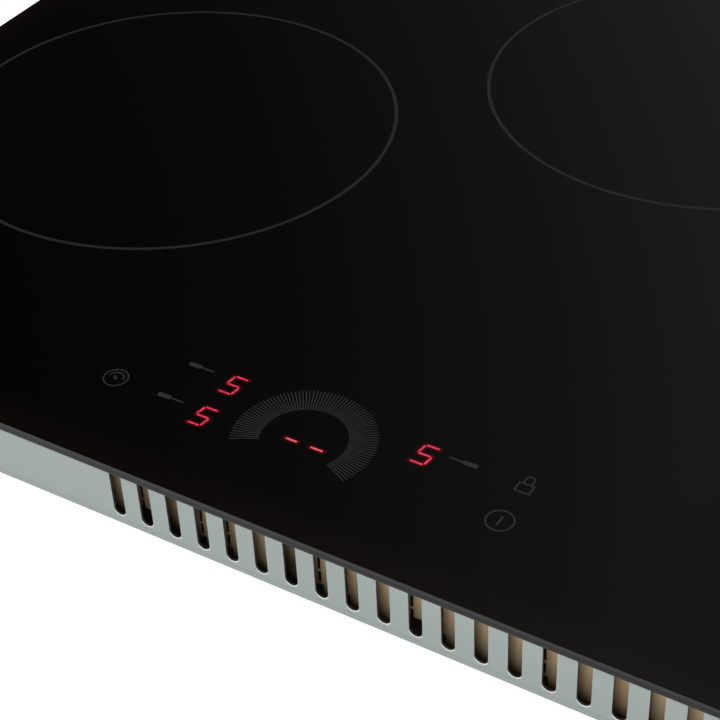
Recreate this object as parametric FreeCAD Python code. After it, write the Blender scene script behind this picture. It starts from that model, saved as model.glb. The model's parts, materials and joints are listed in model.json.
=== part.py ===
import FreeCAD, Part
import math
import os

# Built-in induction cooktop, in millimetres.
# Origin: middle of the case floor's underside. +X is right, +Y is to the back, +Z is up.

# Glass plate
glass_width = 590.0
glass_depth = 520.0
glass_thickness = 4.0
glass_corner_radius = 6.0
glass_edge_radius = 0.4

# Case
case_height = 45.0
case_setback = 17.0
tray_sheet = 1.0
tray_corner_radius = 5.0
tray_bend_radius = 1.5
tray_rim_width = 10.0

# Stiffening beads pressed up into the case floor
bead_count = 8
bead_pitch = 56.0
bead_width = 9.0
bead_rise = 1.5
bead_slope = 1.0
bead_end_gap = 20.0

# Glass bonding and worktop seal
bond_thickness = 1.0
bond_width = 8.0
seal_thickness = 2.5
seal_width = 8.0
seal_inset = 4.0

# Ventilation slots in the front wall
slot_width = 5.24
slot_pitch = 12.53
slot_first_x = -66.2
slot_end_gap = 52.0
slot_bottom = 5.2
slot_top_gap = 6.0

# Tan liner board behind the slots
liner_gap = 2.5
liner_thickness = 0.7
liner_margin = 12.0
liner_headroom = 1.0
liner_foot = 10.0
liner_slit_width = 1.5
liner_slit_sill = 2.0
liner_slit_shift = 8.6
liner_slit_offsets = (0.0, 26.3, 37.8, 76.2)
liner_slit_period = 87.0
liner_slit_foot_width = 3.2
liner_slit_foot_height = 4.6
liner_bridges = 2
liner_bridge_height = 1.1
liner_bridge_pitch = 6.1
liner_window_slots = (1, 10)
liner_window_width = 9.0
liner_window_height = 7.0

# Cooking zones and their coils
large_zone_radius = 100.0
small_zone_radius = 72.5
zone_front_distance = 199.2
zone_rear_margin = 68.5
zone_side_margin = 9.6
rear_zone_shift = 5.0
coil_inside_zone = 6.0
coil_inner_radius = 22.0
mica_thickness = 0.5
winding_thickness = 4.0
former_thickness = 3.5
former_rim = 8.0
former_arm_width = 16.0
former_arms = 6
former_overhang = 4.0
ferrite_thickness = 2.5
ferrite_width = 12.0
ferrite_end_gap = 7.0
spacer_free_height = 3.0
spacer_radius = 5.0
spacers_per_zone = 3
sensor_stem_radius = 4.8
sensor_flange_radius = 8.0
sensor_flange_thickness = 1.5
sensor_tip_radius = 4.0
sensor_fit = 0.2
lead_hole_radius = 12.0

# Coil carrier plate
carrier_sheet = 1.5
carrier_wall_gap = 5.0
carrier_front_gap = 65.0
carrier_leg_width = 20.0
carrier_foot = 14.0
carrier_middle_leg_gap = 31.0
carrier_rear_leg_gap = 20.0
carrier_left_leg_gap = 18.0
carrier_right_leg_gap = 3.0
carrier_notch_gap = 6.0

# Touch panel, placed from the front edge of the glass
panel_front_gap = 6.0
panel_width = 196.0
panel_depth = 48.0
panel_board = 1.6
panel_carrier_height = 6.4
panel_carrier_wall = 4.0
panel_leg = 8.0
panel_leg_gap = 2.5
display_height = 4.0
digit_width = 12.5
digit_depth = 17.0
digit_pitch = 10.4
digit_x = 40.0
digit_upper_y = 56.7
digit_row_gap = 2.4
centre_display_x = 1.5
centre_display_drop = 2.4
slider_y = 43.8
slider_outer_radius = 26.4
slider_inner_radius = 15.8
slider_start_angle = -27.0
slider_sweep_angle = 234.0
pad_radius = 6.0
pad_x = 78.8
pad_upper_y = 59.1
pad_lower_y = 40.1

# Ribbon cable between the touch board and the left power board
ribbon_width = 14.0
ribbon_thickness = 0.8
ribbon_shift = 20.0
ribbon_bend = 4.0
ribbon_landing = 6.0

# Power boards
power_board_depth = 226.0
power_board_gap = 12.0
power_board_front_gap = 60.0
board_thickness = 1.6
standoff_height = 7.0
standoff_radius = 3.5
standoff_inset = 6.0
component_gap = 2.0
sink_width = 60.0
sink_length = 150.0
sink_base = 4.0
sink_fin = 2.0
sink_fin_count = 9
sink_inset = 10.0
sink_headroom = 3.0
transistor_width = 16.0
transistor_thickness = 5.0
transistor_headroom = 5.4
transistors_per_side = 3
capacitor_width = 14.0
capacitor_length = 32.0
capacitor_headroom = 5.4
capacitor_edge = 1.0
capacitors_per_side = 2
capacitor_edge_gap = 9.0

# Filter board
filter_board_width = 120.0
filter_board_depth = 124.0
filter_board_side_gap = 3.0
filter_board_rear_gap = 29.0
choke_ring_radius = 15.0
choke_core_radius = 6.0
choke_edge_gap = 30.0
suppressor_length = 26.0
suppressor_width = 12.0
suppressor_edge_gap = 15.0
suppressor_headroom = 6.4
suppressor_count = 3

# Blowers
blower_board_gap = 8.0
blower_wall = 2.0
blower_headroom = 4.0
scroll_gap = 5.0
scroll_side_wall = 5.0
scroll_end_wall = 6.0
blower_inlet_radius = 29.0
impeller_radius = 36.0
impeller_blade_length = 9.0
impeller_blade_thickness = 1.2
impeller_blade_angle = 35.0
impeller_blades = 22
impeller_back = 1.5
impeller_end_gap = 2.0
hub_wall = 2.0
motor_radius = 13.5
motor_rise = 10.0
motor_side_gap = 1.5
motor_end_gap = 1.0
shaft_radius = 1.5
shaft_fit = 0.05
shaft_end_gap = 1.0
grille_hole_radius = 3.0
grille_ring_pitch = 8.4
grille_rings = 3
grille_ring_step = 6

# Mains terminal box
terminal_side_gap = 45.0
terminal_width = 104.0
terminal_depth = 62.0
entry_thickness = 2.0
terminal_wall = 2.0
terminal_height = 26.0
terminal_flange = 4.0
terminal_flange_thickness = 1.5
terminal_floor_fit = 0.3
lid_thickness = 2.0
lid_fit = 0.4
lid_rise = 0.3
lid_knuckle_radius = 1.5
lid_pin_radius = 1.0
lid_pin_fit = 0.05
lid_pin_length = 1.6
lid_hinge_gap = 1.4
lid_grip_grooves = 4
lid_grip_pitch = 4.0
lid_grip_length = 40.0
lid_grip_width = 1.6
lid_grip_depth = 0.7
block_width = 72.0
block_depth = 18.0
block_height = 12.0
block_front_gap = 5.0
terminal_count = 5
terminal_screw_radius = 3.0
terminal_screw_height = 1.2

# Cable gland through the rear wall, thread size 16
gland_bore_radius = 6.0
gland_barrel_radius = 8.0
gland_flange_flats = 21.0
gland_flange_thickness = 1.8
gland_fit = 0.2
gland_nut_gap = 1.2
gland_inside = 8.0
gland_nut_flats = 19.0
gland_nut_thickness = 5.0

# Swivel clamps in pockets under the case
pocket_end_gap = 61.0
claw_width = 15.0
claw_reach = 50.0
claw_thickness = 2.5
claw_rise = 2.0
claw_nose_length = 5.0
claw_nose_height = 1.6
claw_pivot_inset = 13.5
claw_eye_gap = 1.5
claw_side_gap = 2.0
claw_tip_gap = 6.0
claw_roof_gap = 0.4
claw_fit = 0.05
clamp_shank_radius = 3.0
clamp_thread_radius = 2.5
clamp_head_radius = 5.5
clamp_head_thickness = 1.5
clamp_recess_length = 6.0
clamp_recess_width = 1.4
clamp_recess_depth = 1.0
clamp_end_gap = 0.1
clamp_thread_length = 6.0
clamp_nut_flats = 8.0
clamp_nut_thickness = 4.0

# Screws that hold the feet to the case floor
screw_radius = 2.0
screw_head_radius = 3.8
screw_head_thickness = 2.0
screw_fit = 0.1

# Places worked out from the driving dimensions
tray_width = glass_width - 2 * case_setback
tray_depth = glass_depth - 2 * case_setback
tray_half_x = tray_width / 2
tray_half_y = tray_depth / 2
tray_top = case_height - bond_thickness
inner_half_x = tray_half_x - tray_sheet
inner_half_y = tray_half_y - tray_sheet
glass_front = -glass_depth / 2
floor_z = tray_sheet

mica_z = case_height - mica_thickness
winding_z = mica_z - winding_thickness
former_z = winding_z - former_thickness
ferrite_z = former_z - ferrite_thickness
carrier_top = ferrite_z - spacer_free_height
carrier_bottom = carrier_top - carrier_sheet

panel_y = case_setback + tray_sheet + panel_front_gap + panel_depth / 2
digit_lower_y = digit_upper_y - digit_depth - digit_row_gap
centre_display_y = slider_y - centre_display_drop
panel_top = case_height - display_height
panel_bottom = panel_top - panel_board
panel_carrier_bottom = panel_bottom - panel_carrier_height

claw_z0 = claw_rise
claw_z1 = claw_z0 + claw_thickness
claw_pivot_margin = claw_width / 2 + claw_eye_gap
pocket_width = claw_pivot_inset + claw_width / 2 + claw_side_gap
pocket_length = claw_pivot_margin + claw_reach + claw_tip_gap
pocket_height = claw_z1 + claw_nose_height + claw_roof_gap
pocket_x0 = tray_half_x - pocket_width
blister_x0 = pocket_x0 - tray_sheet
clamp_y = tray_half_y - pocket_end_gap - pocket_length
claw_pivot_x = tray_half_x - claw_pivot_inset
claw_pivot_y = clamp_y + claw_pivot_margin

component_strip = transistor_thickness + component_gap + capacitor_width + capacitor_edge_gap
power_board_width = sink_width + 2 * component_strip
board_right_x = blister_x0 - carrier_leg_width - 2 * carrier_right_leg_gap
right_board_x = board_right_x - power_board_width / 2
left_board_x = right_board_x - power_board_width - power_board_gap
board_left_x = left_board_x - power_board_width / 2
power_board_x = {"left": left_board_x, "right": right_board_x}
power_board_y0 = -inner_half_y + power_board_front_gap
power_board_y1 = power_board_y0 + power_board_depth
board_bottom = floor_z + standoff_height
board_top = board_bottom + board_thickness

blower_cavity_radius = impeller_radius + scroll_gap
blower_width = 2 * (blower_cavity_radius + scroll_side_wall)
blower_depth = 2 * (blower_cavity_radius + scroll_end_wall)
blower_y = power_board_y1 + blower_board_gap + blower_depth / 2
blower_z0 = floor_z
blower_z1 = carrier_bottom - blower_headroom
hub_radius = motor_radius + motor_side_gap + hub_wall

terminal_half = terminal_width / 2
terminal_inner_half = terminal_half - terminal_wall
terminal_x = -inner_half_x + terminal_side_gap + terminal_half
terminal_y0 = tray_half_y - terminal_depth
terminal_y1 = tray_half_y - entry_thickness
terminal_top = terminal_height
gland_z = lid_rise + lid_thickness + gland_nut_gap + gland_nut_flats / 2

filter_board_x = -blister_x0 + filter_board_side_gap + filter_board_width / 2
filter_board_y1 = terminal_y0 - terminal_flange - filter_board_rear_gap
filter_board_y = filter_board_y1 - filter_board_depth / 2
bead_y0 = power_board_y0 + bead_end_gap
bead_y1 = min(power_board_y1, filter_board_y1 - filter_board_depth) - bead_end_gap

half_leg = carrier_leg_width / 2
carrier_middle_leg_y = clamp_y - tray_sheet - carrier_middle_leg_gap - half_leg
carrier_rear_leg_y = clamp_y + pocket_length + tray_sheet + carrier_rear_leg_gap + half_leg
carrier_side_leg_y = (-carrier_middle_leg_y, carrier_middle_leg_y, carrier_rear_leg_y)
carrier_front_leg_x = (board_left_x - carrier_left_leg_gap - half_leg,
                       board_right_x + carrier_right_leg_gap + half_leg)

liner_y0 = -inner_half_y + liner_gap
liner_y1 = liner_y0 + liner_thickness
slot_count = math.ceil((tray_half_x - slot_end_gap - slot_first_x) / slot_pitch)
slot_top = tray_top - slot_top_gap
liner_x0 = slot_first_x - liner_margin
liner_x1 = slot_first_x + (slot_count - 1) * slot_pitch + liner_margin
liner_top = panel_carrier_bottom - liner_headroom

left_zone_x = -tray_half_x + zone_side_margin + large_zone_radius
right_zone_x = tray_half_x - zone_side_margin - small_zone_radius
gap_middle_x = (left_zone_x + large_zone_radius + right_zone_x - small_zone_radius) / 2
rear_zone_x = gap_middle_x + rear_zone_shift
front_zone_y = glass_front + zone_front_distance
rear_zone_y = tray_half_y - zone_rear_margin - large_zone_radius
zones = {
    "left": (left_zone_x, front_zone_y, large_zone_radius),
    "rear": (rear_zone_x, rear_zone_y, large_zone_radius),
    "right": (right_zone_x, front_zone_y, small_zone_radius),
}
corners = {"front_left": (-1, -1), "front_right": (1, -1), "rear_left": (-1, 1), "rear_right": (1, 1)}

cut_through = 1.0
same_place = 1e-6
hexagon_sides = 6
up = FreeCAD.Vector(0, 0, 1)


def vec(x, y, z):
    return FreeCAD.Vector(x, y, z)


def box(x0, x1, y0, y1, z0, z1):
    return Part.makeBox(x1 - x0, y1 - y0, z1 - z0, vec(x0, y0, z0))


def disc(x, y, z0, z1, radius):
    return Part.makeCylinder(radius, z1 - z0, vec(x, y, z0))


def tube(x, y, z0, z1, outer, inner):
    return disc(x, y, z0, z1, outer).cut(disc(x, y, z0, z1, inner))


def rod_y(x, z, y0, y1, radius):
    return Part.makeCylinder(radius, y1 - y0, vec(x, y0, z), vec(0, 1, 0))


def rod_x(y, z, x0, x1, radius):
    return Part.makeCylinder(radius, x1 - x0, vec(x0, y, z), vec(1, 0, 0))


def is_upright(edge):
    first, last = edge.firstVertex().Point, edge.lastVertex().Point
    return math.hypot(first.x - last.x, first.y - last.y) < same_place < abs(first.z - last.z)


def is_level_at(edge, z):
    return all(abs(v.Z - z) < same_place for v in edge.Vertexes)


def slab(width, depth, radius, z0, z1):
    plain = box(-width / 2, width / 2, -depth / 2, depth / 2, z0, z1)
    return plain.makeFillet(radius, [e for e in plain.Edges if is_upright(e)])


def hexagon(flats):
    radius = flats / 2 / math.cos(math.pi / hexagon_sides)
    turns = [2 * math.pi * i / hexagon_sides for i in range(hexagon_sides + 1)]
    return Part.Face(Part.makePolygon([vec(radius * math.cos(a), radius * math.sin(a), 0) for a in turns]))


def upright_slot(x, y0, y1, z0, z1, width):
    r = width / 2
    low = z0 + r
    high = z1 - r
    left_side = Part.LineSegment(vec(x - r, y0, high), vec(x - r, y0, low)).toShape()
    bottom = Part.Arc(vec(x - r, y0, low), vec(x, y0, z0), vec(x + r, y0, low)).toShape()
    right_side = Part.LineSegment(vec(x + r, y0, low), vec(x + r, y0, high)).toShape()
    top = Part.Arc(vec(x + r, y0, high), vec(x, y0, z1), vec(x - r, y0, high)).toShape()
    return Part.Face(Part.Wire([left_side, bottom, right_side, top])).extrude(vec(0, y1 - y0, 0))


def mirrored(shape, x_side, y_side):
    if x_side < 0:
        shape = shape.mirror(vec(0, 0, 0), vec(1, 0, 0))
    if y_side < 0:
        shape = shape.mirror(vec(0, 0, 0), vec(0, 1, 0))
    return shape


def save(name, *solids):
    shape = solids[0] if len(solids) == 1 else Part.makeCompound(list(solids))
    shape.exportStep("parts/" + name + ".step")


# Glass plate with its ground edge
def glass_plate():
    top = case_height + glass_thickness
    plate = slab(glass_width, glass_depth, glass_corner_radius, case_height, top)
    rim = [e for e in plate.Edges if is_level_at(e, case_height) or is_level_at(e, top)]
    return plate.makeFillet(glass_edge_radius, rim)


# Foam strip that seals the glass rim to the worktop
def worktop_seal():
    width = glass_width - 2 * seal_inset
    depth = glass_depth - 2 * seal_inset
    z0 = case_height - seal_thickness
    outer = slab(width, depth, glass_corner_radius, z0, case_height)
    inner = slab(width - 2 * seal_width, depth - 2 * seal_width, glass_corner_radius / 2, z0, case_height)
    return outer.cut(inner)


# Silicone bead between the case rim and the glass
def bonding_bead():
    outer = slab(tray_width, tray_depth, tray_corner_radius, tray_top, case_height)
    hollow = slab(tray_width - 2 * bond_width, tray_depth - 2 * bond_width, tray_corner_radius,
                  tray_top, case_height)
    return outer.cut(hollow)


# Places of the screws in the case floor
def carrier_screw_places():
    side_x = inner_half_x - carrier_wall_gap - carrier_foot / 2
    front_y = -inner_half_y + carrier_front_gap + carrier_foot / 2
    side = [(s * side_x, y) for s in (-1, 1) for y in carrier_side_leg_y]
    return side + [(x, front_y) for x in carrier_front_leg_x]


def liner_screw_places():
    y = liner_y1 + liner_foot / 2
    return [(x, y) for x in (liner_x0 + liner_margin, liner_x1 - liner_margin)]


# Pressed steel case: walls, floor with beads, inward rim, clamp pockets, slots and grilles
def grille_holes(x, y):
    holes = [disc(x, y, -cut_through, floor_z + cut_through, grille_hole_radius)]
    for ring in range(1, grille_rings + 1):
        for i in range(grille_ring_step * ring):
            angle = 2 * math.pi * i / (grille_ring_step * ring)
            hole_x = x + ring * grille_ring_pitch * math.cos(angle)
            hole_y = y + ring * grille_ring_pitch * math.sin(angle)
            holes.append(disc(hole_x, hole_y, -cut_through, floor_z + cut_through, grille_hole_radius))
    return holes


def floor_bead(x, half_width, z0, z1):
    y0 = bead_y0 + bead_width / 2
    y1 = bead_y1 - bead_width / 2
    run = box(x - half_width, x + half_width, y0, y1, z0, z1)
    ends = [disc(x, y, z0, z1, half_width) for y in (y0, y1)]
    plain = run.multiFuse(ends).removeSplitter()
    return plain.makeChamfer(bead_slope, [e for e in plain.Edges if is_level_at(e, z1)])


def base_tray():
    shell = slab(tray_width, tray_depth, tray_corner_radius, 0, tray_top)
    shell = shell.makeFillet(tray_bend_radius, [e for e in shell.Edges if is_level_at(e, 0)])
    hollow = slab(2 * inner_half_x, 2 * inner_half_y, tray_corner_radius - tray_sheet,
                  floor_z, tray_top - tray_sheet)
    inner_bend = tray_bend_radius - tray_sheet
    hollow = hollow.makeFillet(inner_bend, [e for e in hollow.Edges if is_level_at(e, floor_z)])
    mouth = slab(tray_width - 2 * tray_rim_width, tray_depth - 2 * tray_rim_width, tray_corner_radius,
                 tray_top - 2 * tray_sheet, tray_top + cut_through)
    tray = shell.cut(hollow).cut(mouth)

    blister = box(blister_x0, tray_half_x - tray_sheet / 2, clamp_y - tray_sheet,
                  clamp_y + pocket_length + tray_sheet, 0, pocket_height + tray_sheet)
    pocket = box(pocket_x0, tray_half_x + cut_through, clamp_y, clamp_y + pocket_length,
                 -cut_through, pocket_height)
    thread_hole = disc(claw_pivot_x, claw_pivot_y, pocket_height - cut_through,
                       pocket_height + tray_sheet + cut_through, clamp_thread_radius + screw_fit)
    sides = list(corners.values())
    bead_x = [(i - (bead_count - 1) / 2) * bead_pitch for i in range(bead_count)]
    ridges = [floor_bead(x, bead_width / 2 + tray_sheet, floor_z / 2, floor_z + bead_rise) for x in bead_x]
    tray = tray.multiFuse([mirrored(blister, *side) for side in sides] + ridges)

    cuts = [mirrored(pocket, *side) for side in sides]
    cuts += [floor_bead(x, bead_width / 2, -cut_through, bead_rise) for x in bead_x]
    cuts += [mirrored(thread_hole, *side) for side in sides]
    for i in range(slot_count):
        x = slot_first_x + i * slot_pitch
        cuts.append(upright_slot(x, -tray_half_y - cut_through, -inner_half_y + cut_through,
                                 slot_bottom, slot_top, slot_width))
    for x in power_board_x.values():
        cuts += grille_holes(x, blower_y)
    fit = terminal_floor_fit
    opening_x0 = terminal_x - terminal_half - fit
    opening_x1 = terminal_x + terminal_half + fit
    cuts.append(box(opening_x0, opening_x1, terminal_y0 - fit, tray_half_y + cut_through,
                    -cut_through, floor_z + cut_through))
    cuts.append(box(opening_x0, opening_x1, inner_half_y - cut_through, tray_half_y + cut_through,
                    -cut_through, terminal_top + fit))
    for x, y in carrier_screw_places() + liner_screw_places():
        cuts.append(disc(x, y, -cut_through, floor_z + cut_through, screw_radius + screw_fit))
    return tray.cut(cuts)


# Tan board behind the slots, with bridged slits that widen at their feet and two low windows
def through_liner(x, width, z0, z1):
    return box(x - width / 2, x + width / 2, liner_y0 - cut_through, liner_y1 + cut_through, z0, z1)


def front_liner():
    board = box(liner_x0, liner_x1, liner_y0, liner_y1, floor_z, liner_top)
    foot = box(liner_x0, liner_x1, liner_y1, liner_y1 + liner_foot, floor_z, floor_z + liner_thickness)
    sill = floor_z + liner_slit_sill
    foot_top = sill + liner_slit_foot_height
    bridges = [foot_top + i * liner_bridge_pitch for i in range(liner_bridges)]
    dash_tops = bridges[1:] + [liner_top + cut_through]
    cuts = []
    first = slot_first_x + liner_slit_shift
    repeats = math.ceil((liner_x1 - first) / liner_slit_period)
    slits = [first + i * liner_slit_period + offset for i in range(repeats) for offset in liner_slit_offsets]
    for x in slits:
        if x < liner_x1 - liner_margin:
            cuts.append(through_liner(x, liner_slit_foot_width, sill, foot_top))
            for bridge, dash_top in zip(bridges, dash_tops):
                cuts.append(through_liner(x, liner_slit_width, bridge + liner_bridge_height, dash_top))
    for slot in liner_window_slots:
        x = slot_first_x + slot * slot_pitch - liner_gap / 2
        cuts.append(through_liner(x, liner_window_width, sill, sill + liner_window_height))
    for x, y in liner_screw_places():
        cuts.append(disc(x, y, floor_z, floor_z + liner_thickness + cut_through, screw_radius + screw_fit))
    return board.fuse(foot).cut(cuts).removeSplitter()


# Aluminium plate that carries the coils on bent legs
def coil_carrier():
    half_x = inner_half_x - carrier_wall_gap
    y0 = -inner_half_y + carrier_front_gap
    y1 = inner_half_y - carrier_wall_gap
    plate = box(-half_x, half_x, y0, y1, carrier_bottom, carrier_top)
    foot_top = floor_z + carrier_sheet
    legs = []
    for y in carrier_side_leg_y:
        leg = box(half_x - carrier_sheet, half_x, y - half_leg, y + half_leg, floor_z, carrier_bottom)
        foot = box(half_x - carrier_foot, half_x, y - half_leg, y + half_leg, floor_z, foot_top)
        for side in (-1, 1):
            legs += [mirrored(leg, side, 1), mirrored(foot, side, 1)]
    for x in carrier_front_leg_x:
        legs.append(box(x - half_leg, x + half_leg, y0, y0 + carrier_sheet, floor_z, carrier_bottom))
        legs.append(box(x - half_leg, x + half_leg, y0, y0 + carrier_foot, floor_z, foot_top))
    holes = [disc(x, y, carrier_bottom - cut_through, carrier_top + cut_through, lead_hole_radius)
             for x, y, radius in zones.values()]
    holes += [disc(x, y, floor_z - cut_through, foot_top + cut_through, screw_radius + screw_fit)
              for x, y in carrier_screw_places()]
    notch_half = terminal_half + carrier_notch_gap
    notch = box(terminal_x - notch_half, terminal_x + notch_half, terminal_y0 - carrier_notch_gap,
                y1 + cut_through, carrier_bottom - cut_through, carrier_top + cut_through)
    return plate.multiFuse(legs).cut(holes + [notch]).removeSplitter()


# Coil set of one cooking zone
def coil_radius(zone_radius):
    return zone_radius - coil_inside_zone


def mica_sheet(x, y, zone_radius):
    return tube(x, y, mica_z, case_height, coil_radius(zone_radius) + former_overhang,
                sensor_tip_radius + sensor_fit)


def coil_winding(x, y, zone_radius):
    return tube(x, y, winding_z, mica_z, coil_radius(zone_radius), coil_inner_radius)


def coil_former(x, y, zone_radius):
    outer = coil_radius(zone_radius) + former_overhang
    rim = tube(x, y, former_z, winding_z, outer, outer - former_rim)
    hub = disc(x, y, former_z, winding_z, coil_inner_radius)
    arm = box(x, x + outer - former_rim / 2, y - former_arm_width / 2, y + former_arm_width / 2,
              former_z, winding_z)
    arms = []
    for i in range(former_arms):
        turned = arm.copy()
        turned.rotate(vec(x, y, 0), up, 360 * i / former_arms)
        arms.append(turned)
    seat = disc(x, y, former_z - cut_through, winding_z + cut_through, sensor_stem_radius + sensor_fit)
    return rim.multiFuse([hub] + arms).removeSplitter().cut(seat)


def ferrite_bars(x, y, zone_radius):
    inner = coil_inner_radius + ferrite_end_gap
    outer = coil_radius(zone_radius) - ferrite_end_gap
    bar = box(x + inner, x + outer, y - ferrite_width / 2, y + ferrite_width / 2, ferrite_z, former_z)
    bars = []
    for i in range(former_arms):
        turned = bar.copy()
        turned.rotate(vec(x, y, 0), up, 360 * i / former_arms)
        bars.append(turned)
    return bars


def coil_spacers():
    posts = []
    for x, y, zone_radius in zones.values():
        ring = coil_radius(zone_radius) + former_overhang - former_rim / 2
        for i in range(spacers_per_zone):
            angle = math.radians(360 * i / spacers_per_zone + 180 / former_arms)
            posts.append(disc(x + ring * math.cos(angle), y + ring * math.sin(angle),
                              carrier_top, former_z, min(spacer_radius, former_rim / 2)))
    return posts


def temperature_sensor(x, y):
    stem = disc(x, y, former_z, winding_z, sensor_stem_radius)
    flange = disc(x, y, winding_z, winding_z + sensor_flange_thickness, sensor_flange_radius)
    tip = disc(x, y, winding_z + sensor_flange_thickness, case_height, sensor_tip_radius)
    return stem.multiFuse([flange, tip]).removeSplitter()


# Touch panel pressed against the underside of the glass
def from_front(distance):
    return glass_front + distance


def touch_board():
    y = from_front(panel_y)
    return box(-panel_width / 2, panel_width / 2, y - panel_depth / 2, y + panel_depth / 2,
               panel_bottom, panel_top)


def touch_board_carrier():
    y = from_front(panel_y)
    half_x = panel_width / 2
    half_y = panel_depth / 2
    wall = panel_carrier_wall
    frame = box(-half_x, half_x, y - half_y, y + half_y, panel_carrier_bottom, panel_bottom)
    frame = frame.cut(box(-half_x + wall, half_x - wall, y - half_y + wall, y + half_y - wall,
                          panel_carrier_bottom, panel_bottom))
    leg_y0 = liner_y1 + liner_foot + panel_leg_gap
    legs = []
    for side in (-1, 1):
        leg = box(half_x - panel_leg, half_x, leg_y0, leg_y0 + panel_leg, floor_z, panel_bottom)
        legs.append(mirrored(leg, side, 1))
    return frame.multiFuse(legs).removeSplitter()


def display(x, distance, width):
    y = from_front(distance)
    return box(x - width / 2, x + width / 2, y - digit_depth / 2, y + digit_depth / 2,
               panel_top, case_height)


def digit_displays():
    places = ((-digit_x, digit_upper_y), (-digit_x, digit_lower_y), (digit_x, digit_upper_y))
    return [display(x, distance, digit_width) for x, distance in places]


def centre_display():
    return display(centre_display_x, centre_display_y, digit_width + digit_pitch)


def slider_electrode():
    centre = vec(0, from_front(slider_y), panel_top)
    sector = Part.makeCylinder(slider_outer_radius, display_height, centre, up, slider_sweep_angle)
    sector.rotate(centre, up, slider_start_angle)
    return sector.cut(disc(0, from_front(slider_y), panel_top, case_height, slider_inner_radius))


def touch_pads():
    places = ((-pad_x, pad_lower_y), (pad_x, pad_lower_y), (pad_x, pad_upper_y))
    return [disc(x, from_front(distance), panel_top, case_height, pad_radius) for x, distance in places]


# Flat ribbon from the underside of the touch board down to the left power board
def cross_edges(strip, places):
    found = []
    for y, z in places:
        for edge in strip.Edges:
            if all(math.hypot(v.Y - y, v.Z - z) < same_place for v in edge.Vertexes):
                found.append(edge)
    return found


def ribbon_cable():
    half = ribbon_thickness / 2
    upper_y = from_front(panel_y) + panel_depth / 4
    lower_y = power_board_y0 + ribbon_landing
    level = (panel_bottom + board_top) / 2
    x = left_board_x + ribbon_shift
    x0 = x - ribbon_width / 2
    x1 = x + ribbon_width / 2
    drop = box(x0, x1, upper_y - half, upper_y + half, level - half, panel_bottom)
    run = box(x0, x1, upper_y - half, lower_y + half, level - half, level + half)
    landing = box(x0, x1, lower_y - half, lower_y + half, board_top, level + half)
    strip = drop.multiFuse([run, landing]).removeSplitter()
    outer = ((upper_y - half, level - half), (lower_y + half, level + half))
    inner = ((upper_y + half, level + half), (lower_y - half, level - half))

    strip = strip.makeFillet(ribbon_bend + ribbon_thickness, cross_edges(strip, outer))
    return strip.makeFillet(ribbon_bend, cross_edges(strip, inner))


# Power board with heat sink, transistors and capacitors
def power_board(x):
    half = power_board_width / 2
    return box(x - half, x + half, power_board_y0, power_board_y1, board_bottom, board_top)


def heat_sink(x):
    x0 = x - sink_width / 2
    y0 = power_board_y0 + sink_inset
    base = box(x0, x0 + sink_width, y0, y0 + sink_length, board_top, board_top + sink_base)
    step = (sink_width - sink_fin) / (sink_fin_count - 1)
    fins = []
    for i in range(sink_fin_count):
        fin_x = x0 + i * step
        fins.append(box(fin_x, fin_x + sink_fin, y0, y0 + sink_length,
                        board_top, carrier_bottom - sink_headroom))
    return base.multiFuse(fins).removeSplitter()


def power_transistors(x):
    pieces = []
    step = sink_length / transistors_per_side
    for side in (-1, 1):
        face = x + side * sink_width / 2
        x0, x1 = sorted((face, face + side * transistor_thickness))
        for i in range(transistors_per_side):
            y = power_board_y0 + sink_inset + step * (i + 0.5)
            pieces.append(box(x0, x1, y - transistor_width / 2, y + transistor_width / 2,
                              board_top, carrier_bottom - transistor_headroom))
    return pieces


def resonance_capacitors(x):
    pieces = []
    step = sink_length / capacitors_per_side
    for side in (-1, 1):
        centre = x + side * (power_board_width / 2 - capacitor_edge_gap - capacitor_width / 2)
        for i in range(capacitors_per_side):
            y = power_board_y0 + sink_inset + step * (i + 0.5) + capacitor_length / 2
            block = box(centre - capacitor_width / 2, centre + capacitor_width / 2, y - capacitor_length / 2,
                        y + capacitor_length / 2, board_top, carrier_bottom - capacitor_headroom)
            pieces.append(block.makeFillet(capacitor_edge, [e for e in block.Edges if is_upright(e)]))
    return pieces


# Filter board with choke and suppression capacitors
def filter_board():
    half = filter_board_width / 2
    return box(filter_board_x - half, filter_board_x + half, filter_board_y - filter_board_depth / 2,
               filter_board_y + filter_board_depth / 2, board_bottom, board_top)


def filter_choke():
    x = filter_board_x - filter_board_width / 2 + choke_edge_gap
    y = filter_board_y - filter_board_depth / 2 + choke_edge_gap
    return Part.makeTorus(choke_ring_radius, choke_core_radius, vec(x, y, board_top + choke_core_radius))


def suppression_capacitors():
    pieces = []
    step = filter_board_depth / suppressor_count
    x1 = filter_board_x + filter_board_width / 2 - suppressor_edge_gap
    for i in range(suppressor_count):
        y = filter_board_y - filter_board_depth / 2 + step * (i + 0.5)
        block = box(x1 - suppressor_length, x1, y - suppressor_width / 2, y + suppressor_width / 2,
                    board_top, carrier_bottom - suppressor_headroom)
        pieces.append(block.makeFillet(capacitor_edge, [e for e in block.Edges if is_upright(e)]))
    return pieces


def board_standoffs():
    plans = [(x, (power_board_y0 + power_board_y1) / 2, power_board_width, power_board_depth)
             for x in power_board_x.values()]
    plans.append((filter_board_x, filter_board_y, filter_board_width, filter_board_depth))
    posts = []
    for x, y, width, depth in plans:
        for side_x in (-1, 1):
            for side_y in (-1, 1):
                post_x = x + side_x * (width / 2 - standoff_inset)
                post_y = y + side_y * (depth / 2 - standoff_inset)
                posts.append(disc(post_x, post_y, floor_z, board_bottom, standoff_radius))
    return posts


# Blower: scroll housing, motor and impeller on one upright axis
cavity_z0 = blower_z0 + blower_wall
motor_top = blower_z1 - blower_wall
motor_bottom = cavity_z0 + motor_rise


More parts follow.
